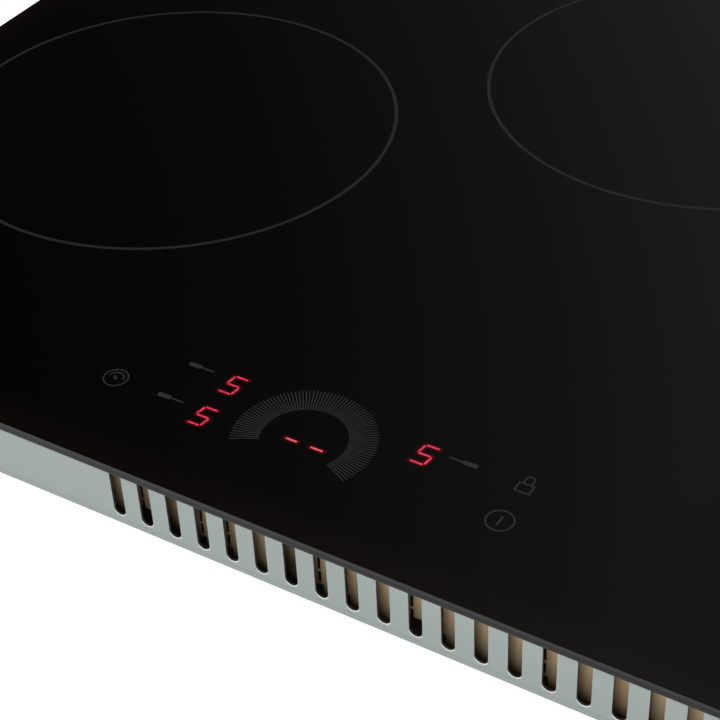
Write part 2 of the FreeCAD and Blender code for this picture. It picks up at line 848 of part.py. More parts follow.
def blower_housing(x):
    half = blower_width / 2
    y0 = blower_y - blower_depth / 2
    body = box(x - half, x + half, y0, y0 + blower_depth, blower_z0, blower_z1)
    cavity = disc(x, blower_y, cavity_z0, motor_top, blower_cavity_radius)
    outlet = box(x - half + blower_wall, x + half - blower_wall, y0 - cut_through, blower_y,
                 cavity_z0, motor_top)
    inlet = disc(x, blower_y, blower_z0 - cut_through, cavity_z0 + cut_through, blower_inlet_radius)
    return body.cut([cavity, outlet, inlet])


def blower_motor(x):
    return tube(x, blower_y, motor_bottom, motor_top, motor_radius, shaft_radius + shaft_fit)


def blower_impeller(x):
    y = blower_y
    cup_top = motor_bottom - motor_end_gap
    cup_bottom = cup_top - hub_wall
    back_top = motor_top - impeller_end_gap
    back_bottom = back_top - impeller_back
    blade_bottom = cavity_z0 + impeller_end_gap
    cup_hollow = disc(x, y, cup_top, back_top, hub_radius - hub_wall)
    cup = disc(x, y, cup_bottom, back_top, hub_radius).cut(cup_hollow)
    back = tube(x, y, back_bottom, back_top, impeller_radius, hub_radius - hub_wall)
    ring = tube(x, y, blade_bottom, blade_bottom + impeller_back, impeller_radius,
                impeller_radius - impeller_blade_length / 2)
    shaft = disc(x, y, cup_bottom, motor_top - shaft_end_gap, shaft_radius)
    lean = math.radians(impeller_blade_angle)
    tip_radius = impeller_radius - impeller_blade_thickness
    root_x = tip_radius - impeller_blade_length * math.cos(lean)
    blade = box(x + root_x, x + root_x + impeller_blade_length, y - impeller_blade_thickness / 2,
                y + impeller_blade_thickness / 2, blade_bottom, back_top)
    blade.rotate(vec(x + root_x, y, 0), up, impeller_blade_angle)
    blades = []
    for i in range(impeller_blades):
        turned = blade.copy()
        turned.rotate(vec(x, y, 0), up, 360 * i / impeller_blades)
        blades.append(turned)
    wheel = cup.multiFuse([back, ring, shaft] + blades).removeSplitter()
    return wheel.common(disc(x, y, blower_z0, motor_top, impeller_radius))


# Terminal box that hangs through the case floor, open below and to the cable entry plate
def terminal_box():
    x0, x1 = terminal_x - terminal_half, terminal_x + terminal_half
    wall = terminal_wall
    tub = box(x0, x1, terminal_y0, terminal_y1, 0, terminal_top)
    flange = box(x0 - terminal_flange, x1 + terminal_flange, terminal_y0 - terminal_flange,
                 terminal_y1 - terminal_flange, floor_z, floor_z + terminal_flange_thickness)
    hollow = box(x0 + wall, x1 - wall, terminal_y0 + wall, terminal_y1 + cut_through,
                 -cut_through, terminal_top - wall)
    hinge_y, hinge_z = lid_axis()
    pin_hole = rod_x(hinge_y, hinge_z, x0 - cut_through, x1 + cut_through, lid_pin_radius + lid_pin_fit)
    flange_slots = [box(x0 - terminal_flange - cut_through, x0, hinge_y - lid_knuckle_radius,
                        hinge_y + lid_knuckle_radius, floor_z, floor_z + terminal_flange_thickness),
                    box(x1, x1 + terminal_flange + cut_through, hinge_y - lid_knuckle_radius,
                        hinge_y + lid_knuckle_radius, floor_z, floor_z + terminal_flange_thickness)]
    return tub.fuse(flange).cut([hollow, pin_hole] + flange_slots)


# Plate with the cable hole, flush in the notch of the rear wall
def cable_entry_plate():
    plate = box(terminal_x - terminal_half, terminal_x + terminal_half, terminal_y1, tray_half_y,
                lid_rise, terminal_top)
    hole = rod_y(terminal_x, gland_z, terminal_y1 - cut_through, tray_half_y + cut_through,
                 gland_barrel_radius + gland_fit)
    return plate.cut(hole)


def lid_axis():
    y = terminal_y0 + terminal_wall + lid_hinge_gap + lid_knuckle_radius
    return y, lid_rise + lid_knuckle_radius


def terminal_lid():
    hinge_y, hinge_z = lid_axis()
    x0 = terminal_x - terminal_inner_half + lid_fit
    x1 = terminal_x + terminal_inner_half - lid_fit
    plate = box(x0, x1, hinge_y, terminal_y1 - lid_fit, lid_rise, lid_rise + lid_thickness)
    knuckle = rod_x(hinge_y, hinge_z, x0, x1, lid_knuckle_radius)
    pins = rod_x(hinge_y, hinge_z, x0 - lid_pin_length, x1 + lid_pin_length, lid_pin_radius)
    grip = []
    for i in range(lid_grip_grooves):
        y = terminal_y1 - lid_fit - (i + 1) * lid_grip_pitch
        grip.append(box(terminal_x - lid_grip_length / 2, terminal_x + lid_grip_length / 2,
                        y - lid_grip_width / 2, y + lid_grip_width / 2,
                        lid_rise - cut_through, lid_rise + lid_grip_depth))
    return plate.multiFuse([knuckle, pins]).removeSplitter().cut(grip)


block_y0 = terminal_y0 + terminal_wall + block_front_gap
block_z1 = terminal_top - terminal_wall
block_z0 = block_z1 - block_height
block_pitch = block_width / terminal_count


def terminal_block():
    body = box(terminal_x - block_width / 2, terminal_x + block_width / 2, block_y0, block_y0 + block_depth,
               block_z0, block_z1)
    wire_radius = min(block_pitch, block_height) / 4
    wells = []
    for i in range(terminal_count):
        x = terminal_x - block_width / 2 + block_pitch * (i + 0.5)
        wells.append(rod_y(x, block_z0 + block_height / 2, block_y0 + block_depth / 2,
                           block_y0 + block_depth + cut_through, wire_radius))
    return body.cut(wells)


def terminal_screws():
    screws = []
    for i in range(terminal_count):
        x = terminal_x - block_width / 2 + block_pitch * (i + 0.5)
        screws.append(disc(x, block_y0 + block_depth / 2, block_z0 - terminal_screw_height, block_z0,
                           terminal_screw_radius))
    return screws


# Cable gland clamped to the cable entry plate by its nut
def cable_gland():
    y_in = terminal_y1 - gland_inside
    y_out = tray_half_y + gland_flange_thickness
    flange = hexagon(gland_flange_flats).extrude(vec(0, 0, gland_flange_thickness))
    flange.rotate(vec(0, 0, 0), vec(1, 0, 0), 90)
    flange.translate(vec(terminal_x, y_out, gland_z))
    barrel = rod_y(terminal_x, gland_z, y_in, y_out, gland_barrel_radius)
    bore = rod_y(terminal_x, gland_z, y_in - cut_through, y_out + cut_through, gland_bore_radius)
    return flange.fuse(barrel).removeSplitter().cut(bore)


def gland_nut():
    y1 = terminal_y1
    nut = hexagon(gland_nut_flats).extrude(vec(0, 0, gland_nut_thickness))
    nut.rotate(vec(0, 0, 0), vec(1, 0, 0), 90)
    nut.translate(vec(terminal_x, y1, gland_z))
    hole = rod_y(terminal_x, gland_z, y1 - gland_nut_thickness - cut_through, y1 + cut_through,
                 gland_barrel_radius + screw_fit)
    return nut.cut(hole)


# Swivel clamp: claw on a shoulder screw in its pocket, drawn for the rear right corner
def clamp_claw():
    half = claw_width / 2
    tip_y = claw_pivot_y + claw_reach
    arm = box(claw_pivot_x - half, claw_pivot_x + half, claw_pivot_y, tip_y, claw_z0, claw_z1)
    eye = disc(claw_pivot_x, claw_pivot_y, claw_z0, claw_z1, half)
    nose = box(claw_pivot_x - half, claw_pivot_x + half, tip_y - claw_nose_length, tip_y,
               claw_z0, claw_z1 + claw_nose_height)
    hole = disc(claw_pivot_x, claw_pivot_y, claw_z0 - cut_through, claw_z1 + cut_through,
                clamp_shank_radius + claw_fit)
    return arm.multiFuse([eye, nose]).removeSplitter().cut(hole)


def clamp_screw():
    head_top = claw_z0 - clamp_end_gap
    x, y = claw_pivot_x, claw_pivot_y
    head = disc(x, y, head_top - clamp_head_thickness, head_top, clamp_head_radius)
    shank = disc(x, y, head_top, pocket_height, clamp_shank_radius)
    thread = disc(x, y, pocket_height, pocket_height + clamp_thread_length, clamp_thread_radius)
    head_bottom = head_top - clamp_head_thickness
    long, narrow = clamp_recess_length / 2, clamp_recess_width / 2
    recess = [box(x - dx, x + dx, y - dy, y + dy, head_bottom - cut_through, head_bottom + clamp_recess_depth)
              for dx, dy in ((long, narrow), (narrow, long))]
    return head.multiFuse([shank, thread]).removeSplitter().cut(recess)


def clamp_nut():
    z0 = pocket_height + tray_sheet
    nut = hexagon(clamp_nut_flats).extrude(vec(0, 0, clamp_nut_thickness))
    nut.translate(vec(claw_pivot_x, claw_pivot_y, z0))
    return nut.cut(disc(claw_pivot_x, claw_pivot_y, z0 - cut_through, z0 + clamp_nut_thickness + cut_through,
                        clamp_thread_radius + screw_fit))


# Screws through the feet into the case floor
def floor_screw(x, y, foot_top):
    shank = disc(x, y, 0, foot_top, screw_radius)
    head = disc(x, y, foot_top, foot_top + screw_head_thickness, screw_head_radius)
    return shank.fuse(head).removeSplitter()


def case_screws():
    carrier = [floor_screw(x, y, floor_z + carrier_sheet) for x, y in carrier_screw_places()]
    return carrier + [floor_screw(x, y, floor_z + liner_thickness) for x, y in liner_screw_places()]


# Write every piece
os.makedirs("parts", exist_ok=True)
save("glass_plate", glass_plate())
save("worktop_seal", worktop_seal())
save("bonding_bead", bonding_bead())
save("base_tray", base_tray())
save("front_liner", front_liner())
save("coil_carrier", coil_carrier())
for zone_name, zone in zones.items():
    save("mica_sheet_" + zone_name, mica_sheet(*zone))
    save("coil_winding_" + zone_name, coil_winding(*zone))
    save("coil_former_" + zone_name, coil_former(*zone))
    save("ferrite_bars_" + zone_name, *ferrite_bars(*zone))
save("coil_spacers", *coil_spacers())
save("temperature_sensors", *[temperature_sensor(x, y) for x, y, radius in zones.values()])
save("touch_board", touch_board())
save("touch_board_carrier", touch_board_carrier())
save("digit_displays", *digit_displays())
save("centre_display", centre_display())
save("slider_electrode", slider_electrode())
save("touch_pads", *touch_pads())
save("ribbon_cable", ribbon_cable())
for board_name, board_x in power_board_x.items():
    save("power_board_" + board_name, power_board(board_x))
    save("heat_sink_" + board_name, heat_sink(board_x))
    save("power_transistors_" + board_name, *power_transistors(board_x))
    save("resonance_capacitors_" + board_name, *resonance_capacitors(board_x))
    save("blower_housing_" + board_name, blower_housing(board_x))
    save("blower_motor_" + board_name, blower_motor(board_x))
    save("blower_impeller_" + board_name, blower_impeller(board_x))
save("filter_board", filter_board())
save("filter_choke", filter_choke())
save("suppression_capacitors", *suppression_capacitors())
save("board_standoffs", *board_standoffs())
save("terminal_box", terminal_box())
save("cable_entry_plate", cable_entry_plate())
save("terminal_block", terminal_block())
save("terminal_screws", *terminal_screws())
save("terminal_lid", terminal_lid())
save("cable_gland", cable_gland())
save("gland_nut", gland_nut())
for corner_name, corner in corners.items():
    save("clamp_claw_" + corner_name, mirrored(clamp_claw(), *corner))
save("clamp_screws", *[mirrored(clamp_screw(), *corner) for corner in corners.values()])
save("clamp_nuts", *[mirrored(clamp_nut(), *corner) for corner in corners.values()])
save("case_screws", *case_screws())
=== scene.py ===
import bmesh
import bpy
import json
import math
from mathutils import Matrix, Vector


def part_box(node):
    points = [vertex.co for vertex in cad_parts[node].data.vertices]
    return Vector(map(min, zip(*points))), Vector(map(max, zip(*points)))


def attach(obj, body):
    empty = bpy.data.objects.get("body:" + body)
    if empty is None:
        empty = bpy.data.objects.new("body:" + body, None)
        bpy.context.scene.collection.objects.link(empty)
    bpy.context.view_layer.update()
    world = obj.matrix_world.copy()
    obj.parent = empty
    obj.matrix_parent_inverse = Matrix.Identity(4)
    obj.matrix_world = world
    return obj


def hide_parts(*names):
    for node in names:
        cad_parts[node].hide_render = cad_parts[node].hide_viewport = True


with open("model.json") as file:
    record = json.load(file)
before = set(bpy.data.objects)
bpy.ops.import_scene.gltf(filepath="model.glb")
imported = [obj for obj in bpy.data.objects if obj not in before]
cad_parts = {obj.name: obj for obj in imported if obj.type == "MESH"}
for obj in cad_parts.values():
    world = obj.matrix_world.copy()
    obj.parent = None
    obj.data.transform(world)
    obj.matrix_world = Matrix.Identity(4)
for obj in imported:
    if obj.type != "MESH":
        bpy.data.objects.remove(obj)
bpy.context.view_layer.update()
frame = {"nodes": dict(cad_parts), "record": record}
nodes = frame["nodes"]
mm = 0.001
fullTurn = 360
white = "#ffffff"


# Colours are written as sRGB hex, and shaders take linear values
def linear(hexColour):
    channels = [int(hexColour[i:i + 2], 16) / 255 for i in (1, 3, 5)]
    return [c / 12.92 if c < 0.04045 else ((c + 0.055) / 1.055) ** 2.4 for c in channels] + [1.0]


# One node with its settings and inputs: a socket is linked, anything else is set as a value
def addNode(tree, kind, inputs=None, **settings):
    node = tree.nodes.new(kind)
    for name, value in settings.items():
        setattr(node, name, value)
    for name, value in (inputs or {}).items():
        if isinstance(value, bpy.types.NodeSocket):
            tree.links.new(value, node.inputs[name])
        else:
            node.inputs[name].default_value = value
    return node


# A material with its Principled shader and Object coordinates
def startFinish(name, values):
    material = bpy.data.materials.new(name)
    material.use_nodes = True
    tree = material.node_tree
    shader = tree.nodes["Principled BSDF"]
    for socket, value in values.items():
        shader.inputs[socket].default_value = value
    coords = addNode(tree, "ShaderNodeTexCoord").outputs["Object"]
    return material, tree, shader, coords


# A finish taken up again, to draw marks over its colour
def openFinish(material):
    tree = material.node_tree
    shader = tree.nodes["Principled BSDF"]
    colour = shader.inputs["Base Color"].links[0].from_socket
    coords = addNode(tree, "ShaderNodeTexCoord").outputs
    return tree, shader, colour, coords


# Texture scale for features this many millimetres wide. Grain that is really finer than 0.2 mm, as on rolled
# sheet, enamel and moulded plastic, is drawn 0.2 to 0.5 mm wide, so that it shows.
def perGrain(size):
    return 1 / (size * mm)


# What a grained finish has unless its own look says otherwise
plainGrain = {"metallic": 0.0, "specular": 0.5, "stretch": 1, "cloudDetail": 3.0, "grainDetail": 2.0,
              "bump": 0.5}


# Two close colours clouded together, with a grain in the gloss and in the surface.
# stretch pulls the grain out along X, as rolling and brushing do.
def grainedFinish(name, ownLook):
    look = {**plainGrain, **ownLook}
    material, tree, shader, coords = startFinish(name, {"Metallic": look["metallic"],
                                                        "Specular IOR Level": look["specular"]})
    drawn = addNode(tree, "ShaderNodeMapping",
                    {"Vector": coords, "Scale": (1 / look["stretch"], 1, 1)}).outputs[0]
    cloud = addNode(tree, "ShaderNodeTexNoise",
                    {"Vector": drawn, "Scale": perGrain(look["cloudMm"]),
                     "Detail": look["cloudDetail"]}).outputs["Fac"]
    grain = addNode(tree, "ShaderNodeTexNoise",
                    {"Vector": drawn, "Scale": perGrain(look["grainMm"]),
                     "Detail": look["grainDetail"]}).outputs["Fac"]
    colour = addNode(tree, "ShaderNodeMix",
                     {0: cloud, 6: linear(look["dark"]), 7: linear(look["light"])}, data_type="RGBA")
    gloss = addNode(tree, "ShaderNodeMapRange",
                    {"Value": grain, "To Min": look["rough"][0], "To Max": look["rough"][1]})
    bump = addNode(tree, "ShaderNodeBump",
                   {"Height": grain, "Strength": look["bump"], "Distance": look["depthMm"] * mm})
    tree.links.new(colour.outputs[2], shader.inputs["Base Color"])
    tree.links.new(gloss.outputs[0], shader.inputs["Roughness"])
    tree.links.new(bump.outputs[0], shader.inputs["Normal"])
    return material


# Finishes of the glass and of what is printed on it
glassLook = {"body": "#010101", "rim": "#0a0404", "rimMm": 18, "waveMm": 60, "rough": (0.02, 0.05),
             "ior": 1.5}


# Black ceramic glass, fire-polished: a mirror that keeps its depth; the faint red near the rim is painted
# light, for light entering at the edge
def ceramicGlass(look):
    material, tree, shader, coords = startFinish("polishedCeramicGlass", {"IOR": look["ior"]})
    place = addNode(tree, "ShaderNodeSeparateXYZ", {0: coords}).outputs
    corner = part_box("glass_plate")[1]
    fromRim = []
    for axis, reach in (("X", corner.x), ("Y", corner.y)):
        aside = addNode(tree, "ShaderNodeMath", {0: place[axis]}, operation="ABSOLUTE").outputs[0]
        fromRim.append(addNode(tree, "ShaderNodeMath", {0: reach, 1: aside}, operation="SUBTRACT").outputs[0])
    nearest = addNode(tree, "ShaderNodeMath", {0: fromRim[0], 1: fromRim[1]}, operation="MINIMUM").outputs[0]
    # painted light: the colour turns faintly red within rimMm of the edge
    rim = addNode(tree, "ShaderNodeMapRange",
                  {"Value": nearest, "From Min": 0.0, "From Max": look["rimMm"] * mm,
                   "To Min": 1.0, "To Max": 0.0}, interpolation_type="SMOOTHSTEP").outputs[0]
    colour = addNode(tree, "ShaderNodeMix", {0: rim, 6: linear(look["body"]), 7: linear(look["rim"])},
                     data_type="RGBA")
    wave = addNode(tree, "ShaderNodeTexNoise", {"Vector": coords, "Scale": perGrain(look["waveMm"])})
    gloss = addNode(tree, "ShaderNodeMapRange",
                    {"Value": wave.outputs["Fac"], "To Min": look["rough"][0], "To Max": look["rough"][1]})
    tree.links.new(colour.outputs[2], shader.inputs["Base Color"])
    tree.links.new(gloss.outputs[0], shader.inputs["Roughness"])
    return material


polishedGlass = ceramicGlass(glassLook)

# Edge ground with a diamond wheel and left unpolished: grey, silky, with fine drawn-out lines
groundEdge = grainedFinish("groundGlassEdge", {
    "dark": "#161617", "light": "#1d1d1f", "cloudMm": 3, "grainMm": 0.25, "depthMm": 0.02,
    "rough": (0.4, 0.55), "specular": 0.2, "stretch": 12})
# Painted highlight along the upper arris: band height, full height and colour
arrisHighlightLook = {"bandMm": 2.0, "fullMm": 1.0, "paintedLightColour": "#363637"}


# A painted highlight: a paler band along the upper arris, where the ground edge catches the light
def paintArrisHighlight(material, look):
    tree, shader, ground, coords = openFinish(material)
    height = addNode(tree, "ShaderNodeSeparateXYZ", {0: coords["Object"]}).outputs["Z"]
    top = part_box("glass_plate")[1].z
    highlightBand = addNode(tree, "ShaderNodeMapRange",
                   {"Value": height, "From Min": top - look["bandMm"] * mm,
                    "From Max": top - look["fullMm"] * mm}, interpolation_type="SMOOTHSTEP").outputs[0]
    colour = addNode(tree, "ShaderNodeMix", {0: highlightBand, 6: ground, 7: linear(look["paintedLightColour"])}, data_type="RGBA")
    tree.links.new(colour.outputs[2], shader.inputs["Base Color"])


paintArrisHighlight(groundEdge, arrisHighlightLook)

# Ceramic enamel printed on the glass and fired in: flat grey, a little rough
enamel = {"cloudMm": 2, "grainMm": 0.2, "depthMm": 0.005, "rough": (0.4, 0.55), "specular": 0.25}
enamelPrint = grainedFinish("firedEnamelPrint", {**enamel, "dark": "#232021", "light": "#292627"})
enamelTicks = grainedFinish("firedEnamelTicks", {**enamel, "dark": "#2a2a2b", "light": "#313133"})

# Finishes of the CAD pieces, one for each slot of the record
finishes = {
    # zinc-coated steel sheet, cold rolled: pale grey-green, satin, faint streaks along the rolling
    "case_steel": grainedFinish("zincCoatedSteel", {
        "dark": "#9fa8a6", "light": "#a8b1af", "cloudMm": 14, "grainMm": 0.5, "depthMm": 0.01,
        "rough": (0.42, 0.55), "metallic": 0.2, "stretch": 6}),
    # pressed mica board: tan, layered, dull with small glinting flakes
    "mica_board": grainedFinish("pressedMicaBoard", {
        "dark": "#877459", "light": "#998568", "cloudMm": 3, "grainMm": 0.5, "depthMm": 0.05,
        "rough": (0.5, 0.8), "specular": 0.3}),
    # closed-cell rubber foam, slit from sheet: dull black with open pores
    "foam_seal": grainedFinish("closedCellFoam", {
        "dark": "#161617", "light": "#232324", "cloudMm": 4, "grainMm": 0.6, "depthMm": 0.2,
        "rough": (0.8, 0.95)}),
    # cured silicone: dark grey, smooth and slightly greasy
    "silicone": grainedFinish("curedSilicone", {
        "dark": "#303031", "light": "#39393a", "cloudMm": 6, "grainMm": 1.5, "depthMm": 0.05,
        "rough": (0.35, 0.5)}),
    # aluminium sheet and extrusion, mill finish: bright with lines along the rolling
    "aluminium_sheet": grainedFinish("millAluminium", {
        "dark": "#b9bbbd", "light": "#cbcdcf", "cloudMm": 10, "grainMm": 0.4, "depthMm": 0.01,
        "rough": (0.28, 0.42), "metallic": 1.0, "stretch": 20}),
    # heat-proof sensor body, moulded: ivory, satin
    "sensor_plastic": grainedFinish("mouldedSensorPlastic", {
        "dark": "#d3cdbd", "light": "#ddd8ca", "cloudMm": 5, "grainMm": 0.4, "depthMm": 0.02,
        "rough": (0.4, 0.5)}),
    # glass-filled nylon, moulded: off-white with faint flow marks
    "carrier_plastic": grainedFinish("glassFilledNylon", {
        "dark": "#c6c2b6", "light": "#d2cec3", "cloudMm": 9, "grainMm": 0.5, "depthMm": 0.03,
        "rough": (0.45, 0.6)}),
    # black display body, moulded: nearly smooth
    "display_module": grainedFinish("blackDisplayPlastic", {
        "dark": "#131314", "light": "#1b1b1c", "cloudMm": 4, "grainMm": 0.3, "depthMm": 0.01,
        "rough": (0.3, 0.4)}),
    # flat cable, extruded vinyl: grey, mottled at the width of a core
    "ribbon": grainedFinish("greyVinylRibbon", {
        "dark": "#8c8d8f", "light": "#9fa0a2", "cloudMm": 1.3, "grainMm": 0.4, "depthMm": 0.05,
        "rough": (0.4, 0.5)}),
    # film capacitor box, moulded: glossy brick red
    "capacitor_case": grainedFinish("redCapacitorPlastic", {
        "dark": "#7c2119", "light": "#8a2a20", "cloudMm": 6, "grainMm": 0.4, "depthMm": 0.01,
        "rough": (0.22, 0.32)}),
    # transistor body, moulded epoxy: matt black
    "transistor_case": grainedFinish("blackMouldedEpoxy", {
        "dark": "#151515", "light": "#1e1e1e", "cloudMm": 3, "grainMm": 0.2, "depthMm": 0.02,
        "rough": (0.55, 0.7)}),
    # polyamide, moulded in a spark-eroded tool: black with an even fine texture
    "terminal_plastic": grainedFinish("blackPolyamide", {
        "dark": "#1c1c1d", "light": "#272728", "cloudMm": 8, "grainMm": 0.35, "depthMm": 0.05,
        "rough": (0.42, 0.6)}),
    # fan polypropylene, moulded: black, waxy
    "blower_plastic": grainedFinish("blackPolypropylene", {
        "dark": "#161617", "light": "#1f1f20", "cloudMm": 8, "grainMm": 0.5, "depthMm": 0.02,
        "rough": (0.38, 0.5)}),
    # sintered ferrite: dark grey, dense, slightly sparkling
    "ferrite": grainedFinish("sinteredFerrite", {
        "dark": "#2b2b2d", "light": "#3a3a3c", "cloudMm": 2, "grainMm": 0.3, "depthMm": 0.03,
        "rough": (0.5, 0.7)}),
    # enamelled copper litz: reddish metal broken up by its strands
    "copper_winding": grainedFinish("enamelledCopperLitz", {
        "dark": "#8a4a28", "light": "#b5683c", "cloudMm": 1.2, "grainMm": 0.5, "depthMm": 0.1,
        "rough": (0.3, 0.5), "metallic": 0.9}),
    # brass terminal screw, turned: warm and bright
    "brass_screw": grainedFinish("turnedBrass", {
        "dark": "#b8973f", "light": "#c9a94e", "cloudMm": 2, "grainMm": 0.2, "depthMm": 0.01,
        "rough": (0.25, 0.35), "metallic": 1.0}),
    # zinc-plated screws and nuts: cool bright grey
    "zinc_screw": grainedFinish("zincPlatedScrew", {
        "dark": "#a9adb0", "light": "#bcc0c2", "cloudMm": 2, "grainMm": 0.3, "depthMm": 0.01,
        "rough": (0.28, 0.4), "metallic": 1.0}),
    # motor can, drawn steel: plain and slightly oily
    "motor_steel": grainedFinish("drawnSteelCan", {
        "dark": "#8f9193", "light": "#9ea0a2", "cloudMm": 4, "grainMm": 0.3, "depthMm": 0.01,
        "rough": (0.3, 0.45), "metallic": 1.0}),
    # clamp claws, stamped and zinc plated: satin with a slight blue cast
    "clamp_steel": grainedFinish("zincPlatedClamp", {
        "dark": "#a3a8ab", "light": "#b4b9bc", "cloudMm": 5, "grainMm": 0.4, "depthMm": 0.02,
        "rough": (0.32, 0.48), "metallic": 1.0, "stretch": 3}),
    "ceramic_glass": polishedGlass,
}

# Painted shade and highlights on the case: a facing is the share of a face's normal along an axis
frontLook = {
    "foldMm": 3.2, "lineMm": 0.4, "foldShade": 0.25,
    "footMm": 2.2, "footShade": 0.3, "underFacing": -0.95,
    "sheetMm": 1.05, "punchShade": 0.9, "paintedShadeColour": "#3a352c", "cutFacing": 0.5, "lowFacing": -0.4,
    "highlightMm": 0.5, "highlightColour": "#f0f4f2", "highlightStarts": -0.3, "highlightFull": -0.8, "frontFacing": -0.9,
    "slots": 24, "slotFirstMm": -66.2, "slotPitchMm": 12.53, "slotWidthMm": 5.24, "slotFootMm": 5.2}


# Painted shade and highlights on the front: a fine dark line along the fold and a darker foot, both painted
# shade, dark cut walls in the slots as painted shade, and a painted highlight on the burr round the foot of
# each slot
def paintFrontShadeAndHighlight(material, look):
    tree, shader, sheet, coords = openFinish(material)
    place = addNode(tree, "ShaderNodeSeparateXYZ", {0: coords["Object"]}).outputs
    facing = addNode(tree, "ShaderNodeSeparateXYZ", {0: coords["Normal"]}).outputs

    # painted shade: the line along the fold and the darker foot, without the underside
    foldShadeLine = addNode(tree, "ShaderNodeMath",
                   {0: place["Z"], 1: look["foldMm"] * mm, 2: look["lineMm"] * mm / 2},
                   operation="COMPARE").outputs[0]
    foldShadeLine = addNode(tree, "ShaderNodeMath", {0: foldShadeLine, 1: look["foldShade"]}, operation="MULTIPLY").outputs[0]
    paintedFootShade = addNode(tree, "ShaderNodeMapRange",
                   {"Value": place["Z"], "From Min": 0.0, "From Max": look["footMm"] * mm,
                    "To Min": look["footShade"], "To Max": 0.0}).outputs[0]
    notUnder = addNode(tree, "ShaderNodeMath", {0: facing["Z"], 1: look["underFacing"]},
                       operation="GREATER_THAN").outputs[0]
    paintedFootShade = addNode(tree, "ShaderNodeMath", {0: paintedFootShade, 1: notUnder}, operation="MULTIPLY").outputs[0]
    shade = addNode(tree, "ShaderNodeMath", {0: foldShadeLine, 1: paintedFootShade}, operation="MAXIMUM").outputs[0]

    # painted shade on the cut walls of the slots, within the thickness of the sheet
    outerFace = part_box("base_tray")[0].y
    paintedSlotShade = addNode(tree, "ShaderNodeMath", {0: place["Y"], 1: outerFace + look["sheetMm"] * mm},
                      operation="LESS_THAN").outputs[0]
    across = addNode(tree, "ShaderNodeMath", {0: facing["Y"], 1: 0.0, 2: look["cutFacing"]},
                     operation="COMPARE").outputs[0]
    notLow = addNode(tree, "ShaderNodeMath", {0: facing["Z"], 1: look["lowFacing"]},
                     operation="GREATER_THAN").outputs[0]
    for share in (across, notLow, look["punchShade"]):
        paintedSlotShade = addNode(tree, "ShaderNodeMath", {0: paintedSlotShade, 1: share}, operation="MULTIPLY").outputs[0]
    shade = addNode(tree, "ShaderNodeMath", {0: shade, 1: paintedSlotShade}, operation="MAXIMUM").outputs[0]

    # painted highlight on the burr: the lower part of a ring round the foot of each slot, on the front face
    fromFirst = addNode(tree, "ShaderNodeMath", {0: place["X"], 1: look["slotFirstMm"] * mm},
                        operation="SUBTRACT").outputs[0]
    halfPitch = look["slotPitchMm"] * mm / 2
    aside = addNode(tree, "ShaderNodeMath", {0: fromFirst, 1: -halfPitch, 2: halfPitch},
                    operation="WRAP").outputs[0]
    rounding = look["slotWidthMm"] * mm / 2
    above = addNode(tree, "ShaderNodeMath", {0: place["Z"], 1: look["slotFootMm"] * mm + rounding},
                    operation="SUBTRACT").outputs[0]
    away = addNode(tree, "ShaderNodeCombineXYZ", {"X": aside, "Z": above}).outputs[0]
    reach = addNode(tree, "ShaderNodeVectorMath", {0: away}, operation="LENGTH").outputs["Value"]
    lip = look["highlightMm"] * mm / 2
    paintedBurrHighlight = addNode(tree, "ShaderNodeMath", {0: reach, 1: rounding + lip, 2: lip},
                   operation="COMPARE").outputs[0]
    drop = addNode(tree, "ShaderNodeMath", {0: above, 1: reach}, operation="DIVIDE").outputs[0]
    below = addNode(tree, "ShaderNodeMapRange",
                    {"Value": drop, "From Min": look["highlightStarts"], "From Max": look["highlightFull"]}).outputs[0]
    inFront = addNode(tree, "ShaderNodeMath", {0: facing["Y"], 1: look["frontFacing"]},
                      operation="LESS_THAN").outputs[0]
    amongSlots = addNode(tree, "ShaderNodeMath",
                         {0: fromFirst, 1: (look["slots"] - 1) * halfPitch, 2: look["slots"] * halfPitch},
                         operation="COMPARE").outputs[0]
    for share in (below, inFront, amongSlots):
        paintedBurrHighlight = addNode(tree, "ShaderNodeMath", {0: paintedBurrHighlight, 1: share}, operation="MULTIPLY").outputs[0]

    colour = addNode(tree, "ShaderNodeMix", {0: shade, 6: sheet, 7: linear(look["paintedShadeColour"])}, data_type="RGBA")
    colour = addNode(tree, "ShaderNodeMix", {0: paintedBurrHighlight, 6: colour.outputs[2], 7: linear(look["highlightColour"])},
                     data_type="RGBA")
    tree.links.new(colour.outputs[2], shader.inputs["Base Color"])


paintFrontShadeAndHighlight(finishes["case_steel"], frontLook)

# Painted shade at the foot and in two patches, and painted light to the right, on the tan board
boardLook = {"footMm": 6, "clearMm": 22, "footShare": 0.8, "paintedShade": "#2c1c0c",
             "shadePatches": [(-44.3, 0.25), (6.4, 0.55)], "shadePatchFullMm": 3, "shadePatchEndMm": 6,
             "paintedLightFromMm": -30, "paintedLightToMm": 50, "paintedLightMost": 0.5, "paintedLightColour": "#dabd93"}


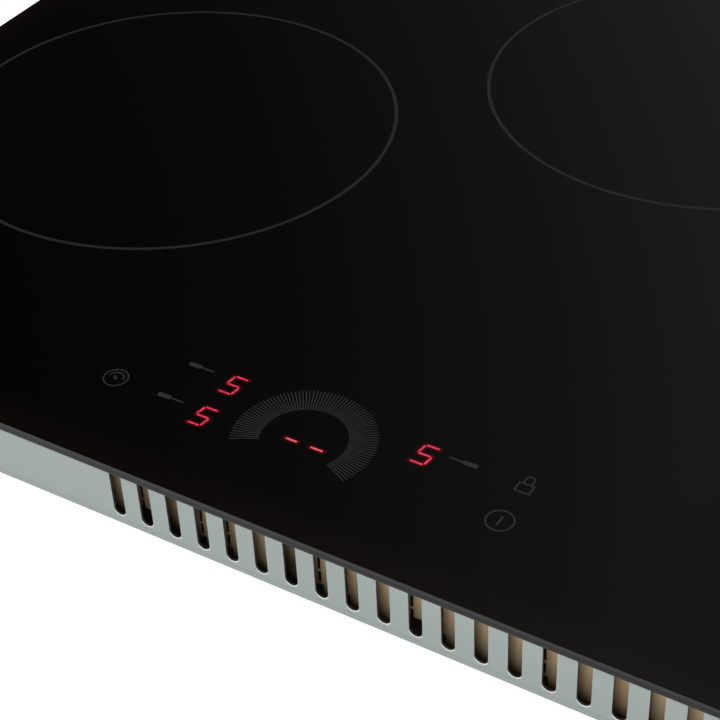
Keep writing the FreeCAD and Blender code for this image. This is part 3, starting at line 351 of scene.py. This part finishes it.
# Painted shade and light on the tan board: it darkens towards its foot and in two patches, painted shade, and
# is paler to the right, painted light
def paintBoardShade(material, look):
    tree, shader, board, coords = openFinish(material)
    place = addNode(tree, "ShaderNodeSeparateXYZ", {0: coords["Object"]}).outputs
    paintedLightMask = addNode(tree, "ShaderNodeMapRange",
                    {"Value": place["X"], "From Min": look["paintedLightFromMm"] * mm,
                     "From Max": look["paintedLightToMm"] * mm,
                     "To Min": 0.0, "To Max": look["paintedLightMost"]}).outputs[0]
    paintedShade = addNode(tree, "ShaderNodeMapRange",
                   {"Value": place["Z"], "From Min": look["footMm"] * mm, "From Max": look["clearMm"] * mm,
                    "To Min": look["footShare"], "To Max": 0.0}).outputs[0]
    for atMm, shadePatchShare in look["shadePatches"]:
        aside = addNode(tree, "ShaderNodeMath", {0: place["X"], 1: atMm * mm},
                        operation="SUBTRACT").outputs[0]
        aside = addNode(tree, "ShaderNodeMath", {0: aside}, operation="ABSOLUTE").outputs[0]
        shadePatch = addNode(tree, "ShaderNodeMapRange",
                        {"Value": aside, "From Min": look["shadePatchFullMm"] * mm,
                         "From Max": look["shadePatchEndMm"] * mm, "To Min": shadePatchShare, "To Max": 0.0}).outputs[0]
        paintedShade = addNode(tree, "ShaderNodeMath", {0: paintedShade, 1: shadePatch}, operation="ADD",
                       use_clamp=True).outputs[0]
    colour = addNode(tree, "ShaderNodeMix", {0: paintedLightMask, 6: board, 7: linear(look["paintedLightColour"])}, data_type="RGBA")
    colour = addNode(tree, "ShaderNodeMix", {0: paintedShade, 6: colour.outputs[2], 7: linear(look["paintedShade"])},
                     data_type="RGBA")
    tree.links.new(colour.outputs[2], shader.inputs["Base Color"])


paintBoardShade(finishes["mica_board"], boardLook)

maskLook = {"mask": "#0e4526", "plane": "#125030", "track": "#2a6b45", "pitchMm": 6, "trackShare": 0.12,
            "squash": 3.0, "copperMm": 0.05, "bump": 0.3, "rough": 0.35}


# Solder mask over copper: green, with tracks that show as paler lines
def solderMask(look):
    material, tree, shader, coords = startFinish("greenSolderMask", {"Roughness": look["rough"]})
    tracks = addNode(tree, "ShaderNodeTexBrick",
                     {"Vector": coords, "Color1": linear(look["mask"]), "Color2": linear(look["plane"]),
                      "Mortar": linear(look["track"]), "Mortar Size": look["trackShare"],
                      "Scale": perGrain(look["pitchMm"])}, squash=look["squash"])
    bump = addNode(tree, "ShaderNodeBump",
                   {"Height": tracks.outputs["Fac"], "Strength": look["bump"],
                    "Distance": look["copperMm"] * mm})
    tree.links.new(tracks.outputs["Color"], shader.inputs["Base Color"])
    tree.links.new(bump.outputs[0], shader.inputs["Normal"])
    return material


finishes["circuit_board"] = solderMask(maskLook)

for part in frame["record"]["subparts"]:
    shownMaterials = nodes[part["node"]].data.materials
    shownMaterials.clear()
    shownMaterials.append(finishes[part["material_slot"]])
print("finishes:", len(finishes), "on the CAD pieces")


# A bmesh becomes a piece that rides on the case
def makePiece(name, bm, *materials):
    mesh = bpy.data.meshes.new(name)
    bm.to_mesh(mesh)
    bm.free()
    for material in materials:
        mesh.materials.append(material)
    piece = bpy.data.objects.new(name, mesh)
    bpy.context.scene.collection.objects.link(piece)
    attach(piece, "case")
    return piece


# Glass plate: polished where it faces up or down, ground round its edge
glassLow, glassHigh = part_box("glass_plate")
glassTop = glassHigh.z
frontEdge = glassLow.y
glass = {"cornerMm": 6, "cornerSteps": 8, "edgeMm": 0.4, "edgeSteps": 3,
         "polishedFacing": 0.6, "flatFacing": 0.999}


def makeGlass():
    size = glassHigh - glassLow
    place = Matrix.Translation((glassLow + glassHigh) / 2) @ Matrix.Diagonal((*size, 1))
    bm = bmesh.new()
    bmesh.ops.create_cube(bm, size=1, matrix=place)
    upright = [e for e in bm.edges if abs(e.verts[0].co.z - e.verts[1].co.z) > size.z / 2]
    bmesh.ops.bevel(bm, geom=upright, offset=glass["cornerMm"] * mm, offset_type="OFFSET", affect="EDGES",
                    segments=glass["cornerSteps"], profile=0.5, material=-1)
    rim = [e for e in bm.edges if abs(e.verts[0].co.z - e.verts[1].co.z) < size.z / 2]
    bmesh.ops.bevel(bm, geom=rim, offset=glass["edgeMm"] * mm, offset_type="OFFSET", affect="EDGES",
                    segments=glass["edgeSteps"], profile=0.5, material=-1)
    bm.normal_update()
    for face in bm.faces:
        face.material_index = 0 if abs(face.normal.z) > glass["polishedFacing"] else 1
        face.smooth = abs(face.normal.z) < glass["flatFacing"]
    return makePiece("polished_glass", bm, polishedGlass, groundEdge)


polishedPlate = makeGlass()
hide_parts("glass_plate")
print("glass plate done")

# Flat marks on the glass. Places are in millimetres: x from the middle, y from the front edge of the glass.
printing = {"thickMm": 0.03, "mergeMm": 0.001, "ringSteps": 128, "iconSteps": 48, "dropSteps": 20,
            "pointedSides": 6, "roundSides": 10}


def onGlass(x, y):
    return Vector((x * mm, frontEdge + y * mm, glassTop))


# A bar from one point to another; few sides give pointed tips, more give round ones
def addBar(bm, start, end, widthMm, sides):
    start, end = onGlass(*start), onGlass(*end)
    along = end - start
    turn = Matrix.Rotation(math.atan2(along.y, along.x) - math.pi / 2, 4, "Z")
    verts = bmesh.ops.create_circle(bm, cap_ends=True, segments=sides, radius=widthMm * mm / 2)["verts"]
    reach = max(along.length - widthMm * mm, 0) / 2
    bmesh.ops.translate(bm, verts=[v for v in verts if v.co.y > 0], vec=(0, reach, 0))
    bmesh.ops.translate(bm, verts=[v for v in verts if v.co.y < 0], vec=(0, -reach, 0))
    bmesh.ops.transform(bm, verts=verts, matrix=Matrix.Translation((start + end) / 2) @ turn)


# A round dot drawn out to one side
def addDrop(bm, centre, radiusMm, leanDegrees, stretch):
    verts = bmesh.ops.create_circle(bm, cap_ends=True, segments=printing["dropSteps"],
                                    radius=radiusMm * mm)["verts"]
    bmesh.ops.scale(bm, verts=[v for v in verts if v.co.y > 0], vec=(1, stretch, 1))
    turn = Matrix.Rotation(math.radians(leanDegrees), 4, "Z")
    bmesh.ops.transform(bm, verts=verts, matrix=Matrix.Translation(onGlass(*centre)) @ turn)


# A rectangle, with its corners cut where a size is given
def addPlate(bm, centre, sizeMm, cornerMm=0):
    grid = bmesh.ops.create_grid(bm, x_segments=1, y_segments=1, size=0.5)
    place = Matrix.Translation(onGlass(*centre)) @ Matrix.Diagonal((sizeMm[0] * mm, sizeMm[1] * mm, 1, 1))
    bmesh.ops.transform(bm, verts=grid["verts"], matrix=place)
    faces = list({face for v in grid["verts"] for face in v.link_faces})
    if cornerMm:
        bmesh.ops.bevel(bm, geom=grid["verts"], offset=cornerMm * mm, offset_type="OFFSET",
                        affect="VERTICES", segments=1, profile=0.5, material=-1)
    return faces


# A flat arc, swept from the right; a full turn closes on itself
def addArc(bm, centre, radiusMm, widthMm, degrees, steps):
    middle = onGlass(*centre)
    across = []
    for radius in (radiusMm - widthMm / 2, radiusMm + widthMm / 2):
        across.append(bm.verts.new(middle + Vector((radius * mm, 0, 0))))
    edge = bm.edges.new(across)
    bmesh.ops.spin(bm, geom=[*across, edge], cent=middle, axis=(0, 0, 1), angle=math.radians(degrees),
                   steps=steps, use_merge=degrees == fullTurn)


# Flat faces are raised to a closed slip
def thicken(bm, thickMm):
    raised = bmesh.ops.extrude_face_region(bm, geom=bm.faces[:])
    top = [v for v in raised["geom"] if isinstance(v, bmesh.types.BMVert)]
    bmesh.ops.translate(bm, verts=top, vec=(0, 0, thickMm * mm))
    bmesh.ops.recalc_face_normals(bm, faces=bm.faces)


# Flat faces all turned up get their thickness, and the mark becomes a piece
def makeMark(name, bm, material):
    bmesh.ops.remove_doubles(bm, verts=bm.verts, dist=printing["mergeMm"] * mm)
    bmesh.ops.recalc_face_normals(bm, faces=bm.faces)
    bmesh.ops.reverse_faces(bm, faces=[f for f in bm.faces if f.normal.z < 0])
    thicken(bm, printing["thickMm"])
    makePiece(name, bm, material)


# Cooking zone circles, one line each, a little wider than the mica sheets over the coils
zones = {"lineMm": 1.6, "overSheetMm": {"left": 2.6, "rear": 1.5, "right": 2.0}}
for zone, overMm in zones["overSheetMm"].items():
    low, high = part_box("mica_sheet_" + zone)
    middle = (low + high) / 2
    centre = (middle.x / mm, (middle.y - frontEdge) / mm)
    radiusMm = (high.x - low.x) / 2 / mm + overMm
    bm = bmesh.new()
    addArc(bm, centre, radiusMm, zones["lineMm"], fullTurn, printing["ringSteps"])
    makeMark("zone_ring_" + zone, bm, enamelPrint)

# Slider scale: one tick, turned round the centre
slider = {"centre": (0, 43.83), "innerMm": 15.78, "outerMm": 26.42, "fromDegrees": -27, "sweepDegrees": 234,
          "ticks": 79, "tickMm": 0.48}


def makeSlider():
    x, y = slider["centre"]
    middle = onGlass(x, y)
    bm = bmesh.new()
    addBar(bm, (x + slider["innerMm"], y), (x + slider["outerMm"], y), slider["tickMm"],
           printing["pointedSides"])
    start = Matrix.Rotation(math.radians(slider["fromDegrees"]), 3, "Z")
    bmesh.ops.rotate(bm, verts=bm.verts, cent=middle, matrix=start)
    bmesh.ops.spin(bm, geom=[*bm.verts, *bm.edges, *bm.faces], cent=middle, axis=(0, 0, 1),
                   angle=math.radians(slider["sweepDegrees"]), steps=slider["ticks"] - 1, use_duplicate=True)
    makeMark("slider_scale", bm, enamelTicks)


makeSlider()

# Pan marks beside the digits: a handle and a thin line, at handle x, line x and y
panMarks = {"rear_left": (-57.2, -51.7, 59.8), "front_left": (-57.2, -51.7, 40.1),
            "right": (57.4, 51.9, 59.7)}
pan = {"handleMm": (5.5, 2.1), "handleCornerMm": 0.3, "lineMm": (5.5, 0.68), "lineCornerMm": 0.15}
for name, (handleX, lineX, y) in panMarks.items():
    bm = bmesh.new()
    addPlate(bm, (handleX, y), pan["handleMm"], pan["handleCornerMm"])
    addPlate(bm, (lineX, y), pan["lineMm"], pan["lineCornerMm"])
    makeMark("pan_mark_" + name, bm, enamelTicks)

# Gauge icon: ring, inner arc and a small pointer
gauge = {"centre": (-79.1, 40.1), "ringMm": 4.65, "lineMm": 0.58, "arcMm": 2.95, "arcDegrees": 178,
         "dropAt": (-78.95, 39.65), "dropMm": 0.6, "dropLean": 45, "dropStretch": 3.2}
bm = bmesh.new()
addArc(bm, gauge["centre"], gauge["ringMm"], gauge["lineMm"], fullTurn, printing["iconSteps"])
addArc(bm, gauge["centre"], gauge["arcMm"], gauge["lineMm"], gauge["arcDegrees"], printing["iconSteps"] // 2)
addDrop(bm, gauge["dropAt"], gauge["dropMm"], gauge["dropLean"], gauge["dropStretch"])
makeMark("gauge_icon", bm, enamelTicks)

# Lock icon: an outlined body and its shackle
lock = {"centre": (78.8, 57.85), "bodyMm": (6.2, 5.0), "lineMm": 0.68, "archX": 78.85, "archY": 62.3,
        "archMm": 1.55, "archDegrees": 180}
bm = bmesh.new()
body = addPlate(bm, lock["centre"], lock["bodyMm"])
bmesh.ops.inset_region(bm, faces=body, thickness=lock["lineMm"] * mm, use_even_offset=True, use_boundary=True)
bmesh.ops.delete(bm, geom=body, context="FACES_ONLY")
legFoot = lock["centre"][1] + lock["bodyMm"][1] / 2
for side in (-1, 1):
    legMiddle = (lock["archX"] + side * lock["archMm"], (legFoot + lock["archY"]) / 2)
    addPlate(bm, legMiddle, (lock["lineMm"], lock["archY"] - legFoot))
addArc(bm, (lock["archX"], lock["archY"]), lock["archMm"], lock["lineMm"], lock["archDegrees"],
       printing["iconSteps"] // 2)
makeMark("lock_icon", bm, enamelTicks)

# Power icon: ring and bar
power = {"centre": (78.8, 40.1), "ringMm": 4.85, "lineMm": 0.6, "barMm": 0.8, "barLow": 37.7, "barHigh": 42.4}
barX = power["centre"][0]
bm = bmesh.new()
addArc(bm, power["centre"], power["ringMm"], power["lineMm"], fullTurn, printing["iconSteps"])
addBar(bm, (barX, power["barLow"]), (barX, power["barHigh"]), power["barMm"], printing["roundSides"])
makeMark("power_icon", bm, enamelTicks)
print("printed marks done")


# Light-emitting bars seen through the glass: hot pink-red, stronger in some spots than in others
def litRed(name, look):
    material, tree, shader, coords = startFinish(name, {
        "Base Color": (0, 0, 0, 1), "Roughness": glassLook["rough"][1], "IOR": glassLook["ior"],
        "Emission Color": linear(look["core"])})
    spots = addNode(tree, "ShaderNodeTexNoise", {"Vector": coords, "Scale": perGrain(look["spotMm"])})
    strength = addNode(tree, "ShaderNodeMapRange",
                       {"Value": spots.outputs["Fac"],
                        "From Min": look["spots"][0], "From Max": look["spots"][1],
                        "To Min": look["strength"][0], "To Max": look["strength"][1]})
    tree.links.new(strength.outputs[0], shader.inputs["Emission Strength"])
    return material


# Light that spreads inside the glass round the bars: the same glass, reddened by the glow kept on its points
def redGlow(look):
    material, tree, shader = startFinish("redGlowInGlass", {
        "Base Color": linear(glassLook["body"]), "Roughness": sum(glassLook["rough"]) / 2,
        "IOR": glassLook["ior"], "Emission Color": linear(look["colour"])})[:3]
    glow = addNode(tree, "ShaderNodeAttribute", attribute_name="glow")
    tree.links.new(glow.outputs["Fac"], shader.inputs["Emission Strength"])
    return material


lit = {"spotMm": 0.9, "spots": (0.3, 0.7)}
litBar = litRed("redLitBar", {**lit, "core": "#ff4065", "strength": (0.5, 1.1)})
litDash = litRed("redLitDash", {**lit, "core": "#ff6274", "strength": (0.7, 1.2)})
glowInGlass = redGlow({"colour": "#ff0a1e"})

# Lit displays: the figure's bars run between shares of its half width and half height
digit = {"halfWidthMm": 2.8, "halfHeightMm": 4.75, "slantDegrees": 9, "gapMm": 0.3, "barMm": 0.9,
         "glowMm": 0.8, "glowPeak": 0.1, "glowStepMm": 0.25, "glowMarginMm": 2.5}
figureFive = [((-1, 1), (1, 1)), ((-1, 1), (-1, 0)), ((-1, 0), (1, 0)), ((1, 0), (1, -1)),
              ((-1, -1), (1, -1))]
digitPlaces = {"digit_rear_left": (-38.4, 56.7), "digit_front_left": (-38.4, 37.2),
               "digit_right": (41.2, 56.7)}
dash = {"y": 41.4, "spans": ((-6.0, -1.2), (4.3, 9.3))}


# Ends of each lit bar of a figure, in millimetres on the glass
def figureBars(centre):
    slant = math.tan(math.radians(digit["slantDegrees"]))
    bars = []
    for ends in figureFive:
        points = []
        for acrossShare, upShare in ends:
            up = upShare * digit["halfHeightMm"]
            across = acrossShare * digit["halfWidthMm"] + up * slant
            points.append(Vector((centre[0] + across, centre[1] + up)))
        inset = (points[1] - points[0]).normalized() * digit["gapMm"]
        bars.append((points[0] + inset, points[1] - inset))
    return bars


def distanceToBar(point, bar):
    along = bar[1] - bar[0]
    share = max(0, min(1, (point - bar[0]).dot(along) / along.length_squared))
    return (point - bar[0] - along * share).length


# Bars of one display, and a thin slip of glowing glass under them
def makeDisplay(name, bars, material):
    bm = bmesh.new()
    for start, end in bars:
        addBar(bm, start, end, digit["barMm"], printing["pointedSides"])
    makeMark("lit_" + name, bm, material)
    xs = [p.x for bar in bars for p in bar]
    ys = [p.y for bar in bars for p in bar]
    step = digit["glowStepMm"]
    width = max(xs) - min(xs) + 2 * digit["glowMarginMm"]
    depth = max(ys) - min(ys) + 2 * digit["glowMarginMm"]
    centre = onGlass((max(xs) + min(xs)) / 2, (max(ys) + min(ys)) / 2)
    slip = Matrix.Translation(centre) @ Matrix.Diagonal((width * mm, depth * mm, 1, 1))
    bm = bmesh.new()
    bmesh.ops.create_grid(bm, x_segments=round(width / step), y_segments=round(depth / step), size=0.5,
                          matrix=slip)
    thicken(bm, printing["thickMm"] / 2)
    glow = bm.verts.layers.float.new("glow")
    for v in bm.verts:
        point = Vector((v.co.x / mm, (v.co.y - frontEdge) / mm))
        near = min(distanceToBar(point, bar) for bar in bars)
        v[glow] = digit["glowPeak"] * math.exp(-(near / digit["glowMm"]) ** 2)
    makePiece("glow_" + name, bm, glowInGlass)


for name, place in digitPlaces.items():
    makeDisplay(name, figureBars(place), litBar)
dashBars = [(Vector((start, dash["y"])), Vector((end, dash["y"]))) for start, end in dash["spans"]]
makeDisplay("centre_dashes", dashBars, litDash)
print("lit displays done")

# Floor: white to the eye and to mirrors, still darkened by the object's shadow, clear from below, and a hair
# under the case so that the two faces don't coincide. Its radius is in metres.
floorLook = {"radius": 12, "steps": 96, "gapMm": 0.3, "shade": "#e6e6e6", "glow": 0.88,
             "shadowShare": "#898989"}


# White paper, laid flat: even, without gloss
def paperFinish(look):
    material = bpy.data.materials.new("whitePaperFloor")
    material.use_nodes = True
    tree = material.node_tree
    tree.nodes.remove(tree.nodes["Principled BSDF"])
    path = addNode(tree, "ShaderNodeLightPath").outputs
    seen = path["Is Camera Ray"]
    for ray in ("Is Glossy Ray", "Is Transmission Ray"):
        seen = addNode(tree, "ShaderNodeMath", {0: seen, 1: path[ray]}, operation="MAXIMUM").outputs[0]
    bounce = addNode(tree, "ShaderNodeBsdfDiffuse", {"Color": linear(look["shade"])}).outputs[0]
    shadow = addNode(tree, "ShaderNodeBsdfDiffuse", {"Color": linear(look["shadowShare"])}).outputs[0]
    glow = addNode(tree, "ShaderNodeEmission", {"Color": linear(white), "Strength": look["glow"]}).outputs[0]
    paper = addNode(tree, "ShaderNodeAddShader", {0: glow, 1: shadow}).outputs[0]
    face = addNode(tree, "ShaderNodeMixShader", {0: seen, 1: bounce, 2: paper}).outputs[0]
    back = addNode(tree, "ShaderNodeNewGeometry").outputs["Backfacing"]
    through = addNode(tree, "ShaderNodeMath", {0: back, 1: path["Is Shadow Ray"]},
                      operation="MAXIMUM").outputs[0]
    clear = addNode(tree, "ShaderNodeBsdfTransparent").outputs[0]
    whole = addNode(tree, "ShaderNodeMixShader", {0: through, 1: face, 2: clear}).outputs[0]
    tree.links.new(whole, tree.nodes["Material Output"].inputs["Surface"])
    return material


def makeFloor():
    bm = bmesh.new()
    bmesh.ops.create_circle(bm, cap_ends=True, segments=floorLook["steps"], radius=floorLook["radius"],
                            matrix=Matrix.Translation((0, 0, -floorLook["gapMm"] * mm)))
    mesh = bpy.data.meshes.new("floor")
    bm.to_mesh(mesh)
    bm.free()
    mesh.materials.append(paperFinish(floorLook))
    floor = bpy.data.objects.new("floor", mesh)
    bpy.context.scene.collection.objects.link(floor)


makeFloor()

# Room: dim behind and to the left, where the glass looks, light to the right and in front, white to the eye.
# The glass stays black from every side, because mirrors see the room no lighter than mirrorMost.
roomLook = {"towards": (0.927, -0.268, -0.262), "darkAt": -0.9, "lightAt": -0.2, "ease": 2.0,
            "dark": 0.015, "light": 0.75, "mirrorMost": 0.16}


def makeRoom():
    world = bpy.data.worlds.new("softRoom")
    bpy.context.scene.world = world
    world.use_nodes = True
    tree = world.node_tree
    direction = addNode(tree, "ShaderNodeTexCoord").outputs["Generated"]
    side = addNode(tree, "ShaderNodeVectorMath", {0: direction, 1: roomLook["towards"]},
                   operation="DOT_PRODUCT").outputs["Value"]
    ramp = addNode(tree, "ShaderNodeMapRange",
                   {"Value": side, "From Min": roomLook["darkAt"],
                    "From Max": roomLook["lightAt"]}).outputs[0]
    eased = addNode(tree, "ShaderNodeMath", {0: ramp, 1: roomLook["ease"]}, operation="POWER").outputs[0]
    level = addNode(tree, "ShaderNodeMapRange",
                    {"Value": eased, "To Min": roomLook["dark"], "To Max": roomLook["light"]}).outputs[0]
    path = addNode(tree, "ShaderNodeLightPath").outputs
    mirrored = addNode(tree, "ShaderNodeMath", {0: level, 1: roomLook["mirrorMost"]},
                       operation="MINIMUM").outputs[0]
    level = addNode(tree, "ShaderNodeMix", {0: path["Is Glossy Ray"], 2: level, 3: mirrored}).outputs[0]
    shown = addNode(tree, "ShaderNodeMath", {0: level, 1: path["Is Camera Ray"]},
                    operation="MAXIMUM").outputs[0]
    background = tree.nodes["Background"].inputs
    background["Color"].default_value = linear(white)
    tree.links.new(shown, background["Strength"])


makeRoom()

# Lamps: places and sizes in metres
lamps = {
    "topSoftbox": {"at": (-0.1, -0.3, 2.2), "aim": (0, -0.1, 0), "size": 1.6, "watts": 22},
    "frontSoftbox": {"at": (-0.9, -2.0, 0.9), "aim": (0, -0.25, 0.03), "size": 1.2, "watts": 14},
    "underFill": {"at": (0.2, -0.6, -1.6), "aim": (0, 0, 0), "size": 1.6, "watts": 10},
}
for name, lamp in lamps.items():
    light = bpy.data.lights.new(name, "AREA")
    light.size = lamp["size"]
    light.energy = lamp["watts"]
    lampObject = bpy.data.objects.new(name, light)
    lampObject.location = lamp["at"]
    towards = Vector(lamp["aim"]) - Vector(lamp["at"])
    lampObject.rotation_euler = towards.to_track_quat("-Z", "Y").to_euler()
    lampObject.visible_glossy = False  # the glass mirrors the room, not the lamps
    bpy.context.scene.collection.objects.link(lampObject)

# Camera at the photograph's place: metres, lens and sensor in millimetres, angles in degrees
shot = {"at": (0.27203, -0.60095, 0.45836), "lens": 89.32, "sensor": 36, "near": 0.01,
        "yaw": 32.705, "pitch": 38.567, "roll": 2.891}


def makeCamera():
    yaw, pitch, roll = [math.radians(shot[k]) for k in ("yaw", "pitch", "roll")]
    forward = Vector((-math.sin(yaw) * math.cos(pitch), math.cos(yaw) * math.cos(pitch), -math.sin(pitch)))
    level = Vector((math.cos(yaw), math.sin(yaw), 0))
    down = forward.cross(level)
    right = math.cos(roll) * level + math.sin(roll) * down
    up = math.sin(roll) * level - math.cos(roll) * down
    data = bpy.data.cameras.new("shot")
    data.lens = shot["lens"]
    data.sensor_width = shot["sensor"]
    data.clip_start = shot["near"]
    camera = bpy.data.objects.new("shot", data)
    turn = Matrix((right, up, -forward)).transposed().to_4x4()
    camera.matrix_world = Matrix.Translation(shot["at"]) @ turn
    bpy.context.scene.collection.objects.link(camera)
    bpy.context.scene.camera = camera


makeCamera()
bpy.context.scene.view_settings.view_transform = "Standard"
print("room, lamps and camera done")
